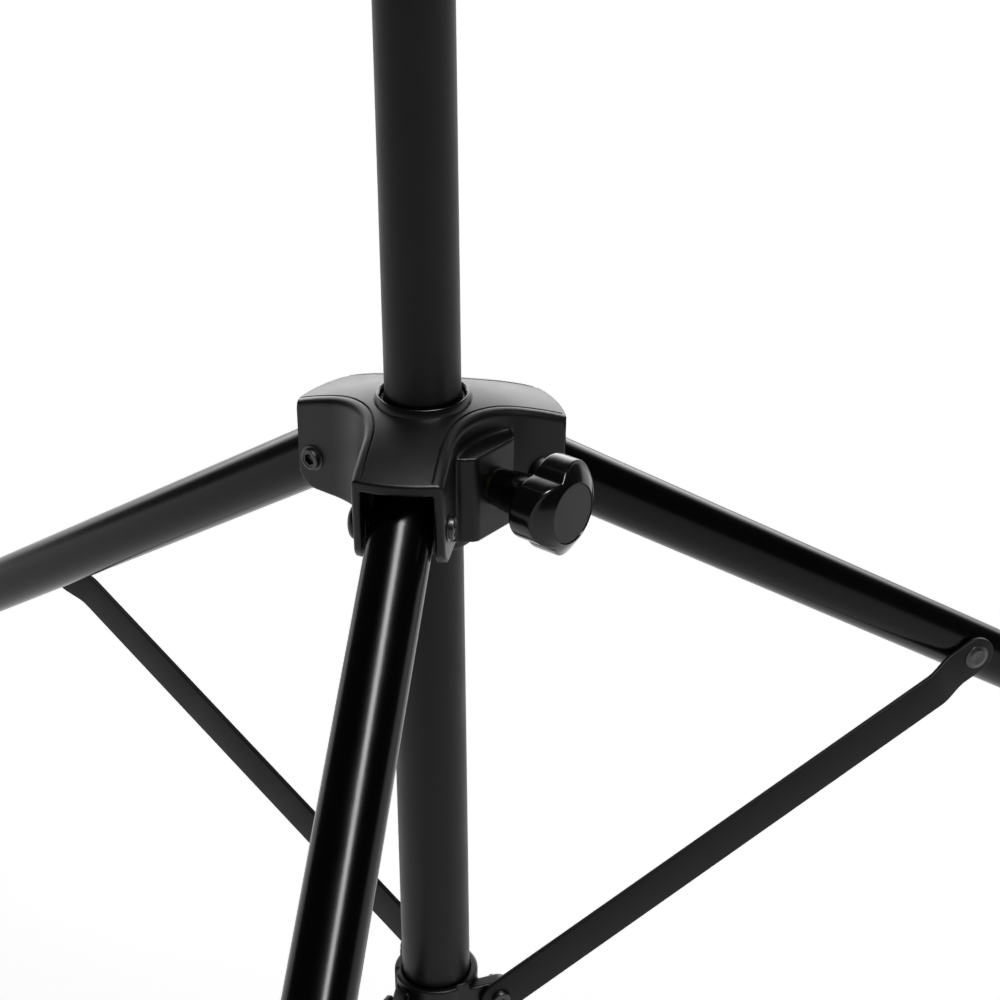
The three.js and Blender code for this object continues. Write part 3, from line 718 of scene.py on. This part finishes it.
def make_knob(prefix, height, shift):
    matrix = radial_frame(LOCK_AZIMUTH, height, shift)
    segments = 180
    angles = [2 * math.pi * i / segments for i in range(segments)]
    outline = [lobe_radius(a) for a in angles]
    rim = CAP_RADIUS + 0.5
    edge = KNOB_EDGE
    points, rings = [], []

    def add_ring(radii, heights):
        ring = []
        for angle, radius, z in zip(angles, radii, heights):
            turn = math.pi / 2 - KNOB_TURN - angle
            ring.append(len(points))
            points.append((radius * math.cos(turn), radius * math.sin(turn), z))
        rings.append(ring)

    def crown(radius):
        return KNOB_FRONT - (max(radius, rim) ** 2 - rim ** 2) / (2 * KNOB_CROWN)

    neck_end = NECK_ROOT + 1.5
    for share, inset, z in knob_profile():
        if share == 0.0:
            add_ring([max(inset, 0.01)] * segments, [z] * segments)
        else:
            radii = [neck_end + (r - neck_end) * share + inset for r in outline]
            if share < 1:
                radii = [neck_end + (r - KNOB_BACK_EDGE - neck_end) * share for r in outline]
            add_ring(radii, [z] * segments)
    for share in (0.25, 0.5, 0.75):
        low = KNOB_FRONT - KNOB_DEPTH + KNOB_BACK_EDGE
        tops = [crown(r - edge) - edge for r in outline]
        add_ring(outline, [low + (t - low) * share for t in tops])
    for degrees in np.linspace(0, 80, 6):
        a = math.radians(degrees)
        radii = [r - edge * (1 - math.cos(a)) for r in outline]
        add_ring(radii, [crown(r - edge) - edge * (1 - math.sin(a)) for r in outline])
    for share in (0.85, 0.65, 0.45, 0.25, 0.1, 0.0):
        radii = [rim + (max(r - edge * 1.2, rim + 0.3) - rim) * share for r in outline]
        add_ring(radii, [crown(r) for r in radii])
    for radius, drop in ((rim - 0.25, 0.12), (rim - 0.4, 0.5), (rim - 0.4, 1.5), (0.01, 1.5)):
        add_ring([radius] * segments, [KNOB_FRONT - drop] * segments)
    faces = []
    for below, above in zip(rings, rings[1:]):
        for i in range(segments):
            j = (i + 1) % segments
            faces.append((below[i], above[i], above[j], below[j]))
    faces.append(rings[0])
    faces.append(rings[-1][::-1])
    head = add_piece(
        f"{prefix}_knob_head", f"{prefix}_knob", "knob", points, faces, matrix, [f"{prefix}_knob"]
    )
    welded(head)
    head.data.set_sharp_from_angle(angle=math.radians(50))

    cap = [
        (0, KNOB_FRONT - 1.2),
        (CAP_RADIUS - 0.1, KNOB_FRONT - 1.2),
        *arc(CAP_RADIUS - 0.3, KNOB_FRONT - 0.7, 0.3, 0, 90, 4),
        (CAP_RADIUS - 1.2, KNOB_FRONT - 0.36),
        (CAP_RADIUS * 0.6, KNOB_FRONT - 0.3),
        (0, KNOB_FRONT - 0.28),
    ]
    turned(
        f"{prefix}_knob_disc", f"{prefix}_knob", "cap", cap, matrix, [f"{prefix}_knob_cap"], 96, 60
    )


def make_stud(prefix, height, shift, tip):
    """The threaded stud, its crests as rings."""
    radius, pitch = STUD_RADIUS, 1.5
    end = KNOB_FRONT - 11 - shift
    profile = [(0, tip), (radius - 1.5, tip), (radius - 0.8, tip + 1.2)]
    z = tip + 1.5
    while z + pitch < end - 4:
        profile += [(radius - 0.8, z), (radius, z + pitch * 0.4), (radius, z + pitch * 0.6)]
        z += pitch
    profile += [(radius - 0.8, z), (radius - 0.2, z + 0.8), (radius - 0.2, end), (0, end)]
    turned(
        f"{prefix}_stud_fine", f"{prefix}_stud", "steel", profile,
        radial_frame(LOCK_AZIMUTH, height), [f"{prefix}_stud"], 40,
    )


# ---------------------------------------------------------------- tubes

def make_tubes():
    upright = turned_frame(0)
    turned(
        "mast_outer", "mast", "mast",
        bored(MAST_RADIUS, MAST_RADIUS - 1.2, MAST_LOW.z, MAST_HIGH.z), upright, ["mast_tube"], 128,
    )
    turned(
        "pole_outer", "pole", "mast",
        bored(POLE_RADIUS, POLE_RADIUS - 1.5, POLE_LOW.z, POLE_HIGH.z), upright, ["pole_tube"], 128,
    )
    low = MAST_LOW.z - 4.3
    spigot = MAST_RADIUS - 1.5
    plug = [
        (0, low + 1.5), (9, low + 1.5), (10, low), (MAST_RADIUS - 2, low),
        *arc(MAST_RADIUS - 1.5, low + 1.5, 1.5, -60, 0, 5),
        (MAST_RADIUS, low + 4), (spigot, low + 4), (spigot, low + 22), (0, low + 22),
    ]
    turned("mast_end_plug", "mast", "rubber", plug, upright, ["mast_end_cap"])
    top = POLE_HIGH.z
    spigot = POLE_RADIUS - 1.8
    cap = [
        (0, top - 20), (spigot, top - 20), (spigot, top + 0.3), (POLE_RADIUS, top + 0.3),
        *arc(POLE_RADIUS - 1.5, top + 2.5, 1.5, 0, 90, 6),
        (11, top + 4), (10.4, top + 3.4), (0, top + 3.4),
    ]
    turned("pole_cap_fine", "pole", "nylon", cap, upright, ["pole_top_cap"])
    low = POLE_LOW.z
    plug = [
        (0, low - 3), *arc(POLE_RADIUS - 1, low - 2, 1, -90, 0, 4),
        (POLE_RADIUS, low - 0.3), (spigot, low - 0.3), (spigot, low + 20), (0, low + 20),
    ]
    turned("pole_plug_fine", "pole", "nylon", plug, upright, ["pole_end_plug"])


# ---------------------------------------------------------------- legs

LEG_LENGTH = 671.0
LEG_STUB = 13.0
FOOT_RADIUS = 19.8
FOOT_UP_THE_LEG = 34.0


def make_leg(name, azimuth):
    matrix = leg_frame(azimuth)
    body = f"leg_{name}"
    end = -(LEG_LENGTH - 12)
    turned(
        f"leg_outer_{name}", body, "leg",
        bored(LEG_RADIUS, LEG_RADIUS - 1.5, end, LEG_STUB), matrix, [f"leg_tube_{name}"], 128,
    )
    plug = [
        (0, -24), (LEG_RADIUS - 2.8, -24), (LEG_RADIUS - 1.8, -23), (LEG_RADIUS - 1.8, LEG_STUB + 0.3),
        (LEG_RADIUS - 0.2, LEG_STUB + 0.3), *arc(LEG_RADIUS - 1.5, LEG_STUB + 0.8, 1.2, 0, 90, 4),
        (0, LEG_STUB + 2),
    ]
    turned(f"leg_plug_{name}_fine", body, "nylon", plug, matrix, [f"leg_plug_{name}"])
    make_foot(name, matrix, body)

    under = TAB_INNER - STRAP_THICKNESS - 0.1
    rivet = [
        (0, under - 0.5), (1.5, under - 0.6), (3.2, under - 1.0),
        *arc(4.6, under - 0.9, 0.35, -100, -40, 3),
        (6.4, under - 0.7), (7.3, under - 0.3), (RIVET_HEAD, under), (RIVET_RADIUS, under), (RIVET_RADIUS, under + 7),
        (0, under + 7),
    ]
    place = matrix @ Matrix.Translation((0, 0, -BRACE_ALONG_LEG)) @ ALONG_X
    turned(f"brace_rivet_{name}_fine", body, "dark", rivet, place, [f"brace_rivet_{name}"], 64)


def make_foot(name, matrix, body):
    """A rubber boot with grip rings round its ball, flat where it stands."""
    bottom = -LEG_LENGTH
    top = bottom + FOOT_UP_THE_LEG
    profile = [(0, bottom - FOOT_RADIUS)]
    for degrees in range(-86, 0, 4):
        groove = 0.5 if degrees % 12 == 0 and degrees < -6 else 0.0
        size = FOOT_RADIUS - groove
        angle = math.radians(degrees)
        profile.append((size * math.cos(angle), bottom + size * math.sin(angle)))
    profile += [
        (FOOT_RADIUS, bottom), (FOOT_RADIUS, bottom + 10),
        (FOOT_RADIUS - 0.7, bottom + 10.8), (FOOT_RADIUS - 0.7, bottom + 12.2),
        (FOOT_RADIUS, bottom + 13), (FOOT_RADIUS, top - 7),
        *arc(FOOT_RADIUS - 1.6, top - 3.2, 1.6, 20, 80, 5),
        (LEG_RADIUS + 1.2, top), *arc(LEG_RADIUS + 0.9, top - 0.6, 0.6, 90, 180, 3),
        (LEG_RADIUS + 0.3, bottom + 11.7), (0, bottom + 11.7),
    ]
    piece = turned(f"foot_{name}_fine", body, "rubber", profile, matrix, [f"foot_{name}"], 80, 55)
    work = bmesh.new()
    work.from_mesh(piece.data)
    everything = work.verts[:] + work.edges[:] + work.faces[:]
    cut = bmesh.ops.bisect_plane(
        work, geom=everything, plane_co=(0, 0, 0), plane_no=(0, 0, -1), clear_outer=True
    )
    rim = [e for e in cut["geom_cut"] if isinstance(e, bmesh.types.BMEdge)]
    bmesh.ops.contextual_create(work, geom=rim)
    bmesh.ops.recalc_face_normals(work, faces=work.faces)
    work.to_mesh(piece.data)
    work.free()
    piece.data.set_sharp_from_angle(angle=math.radians(55))


# ---------------------------------------------------------------- braces

def smooth_step(value):
    value = min(max(value, 0.0), 1.0)
    return value * value * (3 - 2 * value)


def make_brace(name, azimuth):
    """A flat strap with round ends and a joggle below its rivet, its edges rounded."""
    half = STRAP_WIDTH / 2
    edge = 0.9
    bend_top, bend_bottom = -12.0, -32.0
    ends = [half * math.sin(math.radians(d)) for d in range(90, 0, -10)]
    stations = [z for z in ends]
    stations += [0.0, -6.0]
    stations += list(np.linspace(bend_top, bend_bottom, 15))
    stations += list(np.linspace(-45, -BRACE_LENGTH, 18))
    stations += [-BRACE_LENGTH - z for z in ends[::-1]]
    stations = sorted(set(round(z, 4) for z in stations), reverse=True)
    points, rings = [], []
    for z in stations:
        over = max(z, -BRACE_LENGTH - z, 0.0)
        width = max(math.sqrt(max(half ** 2 - over ** 2, 0.0)), 0.6)
        share = smooth_step((bend_top - z) / (bend_top - bend_bottom))
        middle = TAB_INNER - STRAP_THICKNESS / 2 + (RUN_INNER - TAB_INNER) * share
        soft = min(edge, width * 0.5)
        ring = []
        for cx, cy, start in ((1, 1, 0), (-1, 1, 90), (-1, -1, 180), (1, -1, 270)):
            for degrees in (0, 22.5, 45, 67.5, 90):
                a = math.radians(start + degrees)
                x = cx * (STRAP_THICKNESS / 2 - soft) + soft * math.cos(a)
                y = cy * (width - soft) + soft * math.sin(a)
                ring.append(len(points))
                points.append((middle + x, y, z))
        rings.append(ring)
    faces = [rings[0], rings[-1][::-1]]
    for above, below in zip(rings, rings[1:]):
        for i in range(len(above)):
            j = (i + 1) % len(above)
            faces.append((above[i], below[i], below[j], above[j]))
    matrix = brace_frame(azimuth)
    body = f"brace_{name}"
    piece = add_piece(
        f"brace_bar_{name}", body, "brace", points, faces, matrix, [f"brace_strap_{name}"]
    )
    welded(piece)
    piece.data.set_sharp_from_angle(angle=math.radians(50))

    under = RUN_INNER - STRAP_THICKNESS - 0.1
    head = [
        (0, under - 2.6), (3.2, under - 2.6), *arc(4.0, under - 1.5, 1.1, -90, -10, 5),
        (BRACE_BOLT_HEAD, under - 0.4), (BRACE_BOLT_HEAD, under), (BRACE_BOLT_RADIUS, under),
        (BRACE_BOLT_RADIUS, RUN_INNER - 0.1), (0, RUN_INNER - 0.1),
    ]
    place = matrix @ Matrix.Translation((0, 0, -BRACE_LENGTH)) @ ALONG_X
    bolt = turned(f"brace_bolt_{name}_fine", body, "dark", head, place, [f"brace_bolt_{name}"], 48)
    hexagon_cut(bolt, place, 1.8, under - 4, under - 1.2)


# ---------------------------------------------------------------- brace collar and top clamp

def collar_field(x, y, z):
    """A ring on the mast with three lugs."""
    radius = np.hypot(x, y)
    half = (COLLAR_HIGH.z - COLLAR_LOW.z) / 2
    body = round_max(radius - COLLAR_RADIUS, np.abs(z) - half, 1.2)
    for azimuth in LEGS.values():
        sine, cosine = math.sin(azimuth), math.cos(azimuth)
        out, across = x * sine - y * cosine, x * cosine + y * sine
        arm = np.hypot(np.maximum(out - BRACE_REACH, 0), z) - LUG_RADIUS
        flat = np.maximum(LUG_FACE - across, across - LUG_FACE - LUG_THICKNESS)
        lug = round_max(np.maximum(arm, 8 - out), flat, 0.9)
        body = round_min(body, lug, 1.5)
        body = round_max(body, LUG_FACE - across - 40 * (out < 5), 0.1)
    return round_max(body, MAST_RADIUS + 0.3 - radius, 0.6)


def clamp_field(x, y, z):
    """The moulded clamp: a collar on the mast that swells into a head with a boss for the knob."""
    radius = np.hypot(x, y)
    height = CLAMP_HIGH.z - CLAMP_LOW.z
    swell = np.clip((z - 18) / 8, 0, 1)
    wall = radius - (CLAMP_RADIUS + CLAMP_SWELL * swell * swell * (3 - 2 * swell))
    body = round_max(wall, np.maximum(-z, z - height), 2.4)
    for azimuth in (15, 135, 255):
        rib = math.radians(azimuth)
        sine, cosine = math.sin(rib), math.cos(rib)
        out, across = x * sine - y * cosine, x * cosine + y * sine
        fin = np.maximum(np.abs(across) - 2.0, np.maximum(out - 26.3, np.maximum(5 - z, z - 40)))
        body = round_min(body, np.maximum(fin, 15 - out), 1.2)
    sine, cosine = math.sin(LOCK_AZIMUTH), math.cos(LOCK_AZIMUTH)
    centre = (0, 0, CLAMP_LOCK_HEIGHT - CLAMP_LOW.z)
    boss = cylinder_along(x, y, z, centre, (sine, -cosine, 0), CLAMP_BOSS_RADIUS, 22, CLAMP_FACE, 1.2)
    body = round_min(body, boss, 2.5)
    bore = np.where(z > MAST_HIGH.z + 0.3 - CLAMP_LOW.z, MAST_RADIUS + 1.3, MAST_RADIUS + 0.3)
    body = round_max(body, bore - radius, 0.5)
    hole = cylinder_along(x, y, z, centre, (sine, -cosine, 0), STUD_BORE, 10, 60, 0.1)
    return round_max(body, -hole, 0.5)


def make_fittings():
    step = 0.8
    middle = (COLLAR_LOW.z + COLLAR_HIGH.z) / 2
    moulded(
        "brace_collar_fine", "mast", "hub", collar_field, (-42, -42, -16), (42, 42, 16), step,
        Matrix.Translation((AXIS.x, AXIS.y, middle)), ["brace_collar"],
    )
    moulded(
        "top_clamp_fine", "mast", "hub", clamp_field, (-30, -30, -2), (40, 30, 71), step,
        Matrix.Translation((AXIS.x, AXIS.y, CLAMP_LOW.z)), ["top_clamp"],
    )
    low, high = box_mm("clamp_liner")
    turned(
        "clamp_liner_fine", "mast", "nylon",
        bored(MAST_RADIUS + 1, POLE_RADIUS + 0.3, low.z, high.z, 0.5), turned_frame(0),
        ["clamp_liner"],
    )


def paint_small_nodes():
    """Hidden and small CAD nodes keep their shape and get a finished material."""
    kinds = {
        "lock_insert": "brass",
        "collar_set_screw": "dark",
        "clamp_set_screw": "dark",
        **{f"brace_nut_{name}": "dark" for name in LEGS},
    }
    for node, material in kinds.items():
        mesh = frame["nodes"][node].data
        mesh.materials.clear()
        mesh.materials.append(MATERIALS[material])


# ---------------------------------------------------------------- studio

CAMERA_FROM_HUB = Vector((187.3, -937.1, 434.2))  # from the mast's axis at the hub's top plane
HEADING = math.radians(9.05)
PITCH = math.radians(27.19)
ROLL = math.radians(-0.3)
LENS = 76.81
FLOOR_GLOW = 0.8
FLOOR_FRONT = 0.6  # share of the glow in front of the stand
FLOOR_SWEEP = (-1.2, 0.25)  # from here to here along Y, in metres, it grows to the whole
WALL_LIGHT = 4.5
ROOM_LIGHT = 0.05
WALL_SIDE = (0.4, 0.85)  # radians to either side, where the bright wall fades
WALL_TOP = (0.25, 0.72)  # sines of the heights, where it fades
SOFTBOX_PLACE = (0.5, -0.2, 2.3)
SOFTBOX_SIZE = (0.3, 1.8)
SOFTBOX_POWER = 75


def make_camera():
    data = bpy.data.cameras.new("camera")
    data.lens = LENS
    data.sensor_width = 36
    data.clip_start, data.clip_end = 0.01, 100
    camera = bpy.data.objects.new("camera", data)
    hub = Vector((AXIS.x, AXIS.y, HUB_PLANE))
    turn = Matrix.Rotation(HEADING, 4, "Z") @ Matrix.Rotation(math.pi / 2 - PITCH, 4, "X")
    turn = turn @ Matrix.Rotation(ROLL, 4, "Z")
    camera.matrix_world = Matrix.Translation((hub + CAMERA_FROM_HUB) * MM) @ turn
    bpy.context.scene.collection.objects.link(camera)
    bpy.context.scene.camera = camera


def make_floor():
    """A pale floor, lit from within behind the stand like a photographer's sweep."""
    size = 40.0
    mesh = bpy.data.meshes.new("floor")
    corners = [(-size, -size, 0), (size, -size, 0), (size, size, 0), (-size, size, 0)]
    mesh.from_pydata(corners, [], [(0, 1, 2, 3)])
    nodes = Nodes("floor_white")
    nodes.set(Base_Color=(0.75, 0.75, 0.75, 1), Roughness=0.9, Specular_IOR_Level=0.1)
    nodes.set(Emission_Color=(1, 1, 1, 1))
    split = nodes.tree.nodes.new("ShaderNodeSeparateXYZ")
    nodes.link(nodes.coordinates, split.inputs["Vector"])
    glow = nodes.spread(split.outputs["Y"], FLOOR_GLOW * FLOOR_FRONT, FLOOR_GLOW, *FLOOR_SWEEP)
    nodes.link(glow, nodes.shader.inputs["Emission Strength"])
    mesh.materials.append(nodes.material)
    floor = bpy.data.objects.new("floor", mesh)
    bpy.context.scene.collection.objects.link(floor)


def area_light(name, place, target, width, height, power):
    data = bpy.data.lights.new(name, "AREA")
    data.shape = "RECTANGLE"
    data.size, data.size_y = width, height
    data.energy = power
    lamp = bpy.data.objects.new(name, data)
    lamp.location = place
    lamp.rotation_mode = "QUATERNION"
    lamp.rotation_quaternion = (Vector(target) - Vector(place)).to_track_quat("-Z", "Y")
    bpy.context.scene.collection.objects.link(lamp)
    return lamp


def make_world():
    """Grey all round, with a bright wall behind the stand up to a soft upper edge."""
    world = bpy.data.worlds.new("studio")
    world.use_nodes = True
    tree = world.node_tree
    direction = tree.nodes.new("ShaderNodeTexCoord").outputs["Generated"]
    split = tree.nodes.new("ShaderNodeSeparateXYZ")
    tree.links.new(direction, split.inputs["Vector"])

    def along(x, y):
        node = tree.nodes.new("ShaderNodeVectorMath")
        node.operation = "DOT_PRODUCT"
        node.inputs[1].default_value = (x, y, 0)
        tree.links.new(direction, node.inputs[0])
        return node.outputs["Value"]

    def soft(value, start, end, low, high):
        node = tree.nodes.new("ShaderNodeMapRange")
        node.interpolation_type = "SMOOTHSTEP"
        node.inputs["From Min"].default_value = start
        node.inputs["From Max"].default_value = end
        node.inputs["To Min"].default_value = low
        node.inputs["To Max"].default_value = high
        tree.links.new(value, node.inputs["Value"])
        return node.outputs["Result"]

    def maths(operation, a, b=None):
        node = tree.nodes.new("ShaderNodeMath")
        node.operation = operation
        tree.links.new(a, node.inputs[0])
        if isinstance(b, float):
            node.inputs[1].default_value = b
        elif b is not None:
            tree.links.new(b, node.inputs[1])
        return node.outputs["Value"]

    sideways = along(math.cos(HEADING), math.sin(HEADING))
    forward = along(-math.sin(HEADING), math.cos(HEADING))
    turn = maths("ABSOLUTE", maths("ARCTAN2", sideways, forward))
    behind = soft(turn, *WALL_SIDE, WALL_LIGHT, 0.0)
    below_edge = soft(split.outputs["Z"], *WALL_TOP, 1.0, 0.0)
    strength = maths("ADD", maths("MULTIPLY", behind, below_edge), ROOM_LIGHT)
    background = tree.nodes["Background"]
    background.inputs["Color"].default_value = (1, 1, 1, 1)
    tree.links.new(strength, background.inputs["Strength"])
    bpy.context.scene.world = world


def make_lights():
    bpy.context.scene.view_settings.view_transform = "Standard"
    hub = (0, AXIS.y * MM, HUB_PLANE * MM)
    lamp = area_light("softbox_over", SOFTBOX_PLACE, hub, *SOFTBOX_SIZE, SOFTBOX_POWER)
    lamp.visible_diffuse = False


make_camera()
make_hub()
make_knob("hub_lock", HUB_LOCK_HEIGHT, 0.0)
make_knob("clamp_lock", CLAMP_LOCK_HEIGHT, CLAMP_KNOB_SHIFT)
make_stud("hub_lock", HUB_LOCK_HEIGHT, 0.0, MAST_RADIUS + 0.3)
make_stud("clamp_lock", CLAMP_LOCK_HEIGHT, CLAMP_KNOB_SHIFT, POLE_RADIUS + 0.3)
make_tubes()
for leg_name, leg_azimuth in LEGS.items():
    make_leg(leg_name, leg_azimuth)
    make_brace(leg_name, leg_azimuth)
make_fittings()
paint_small_nodes()
make_floor()
make_world()
make_lights()
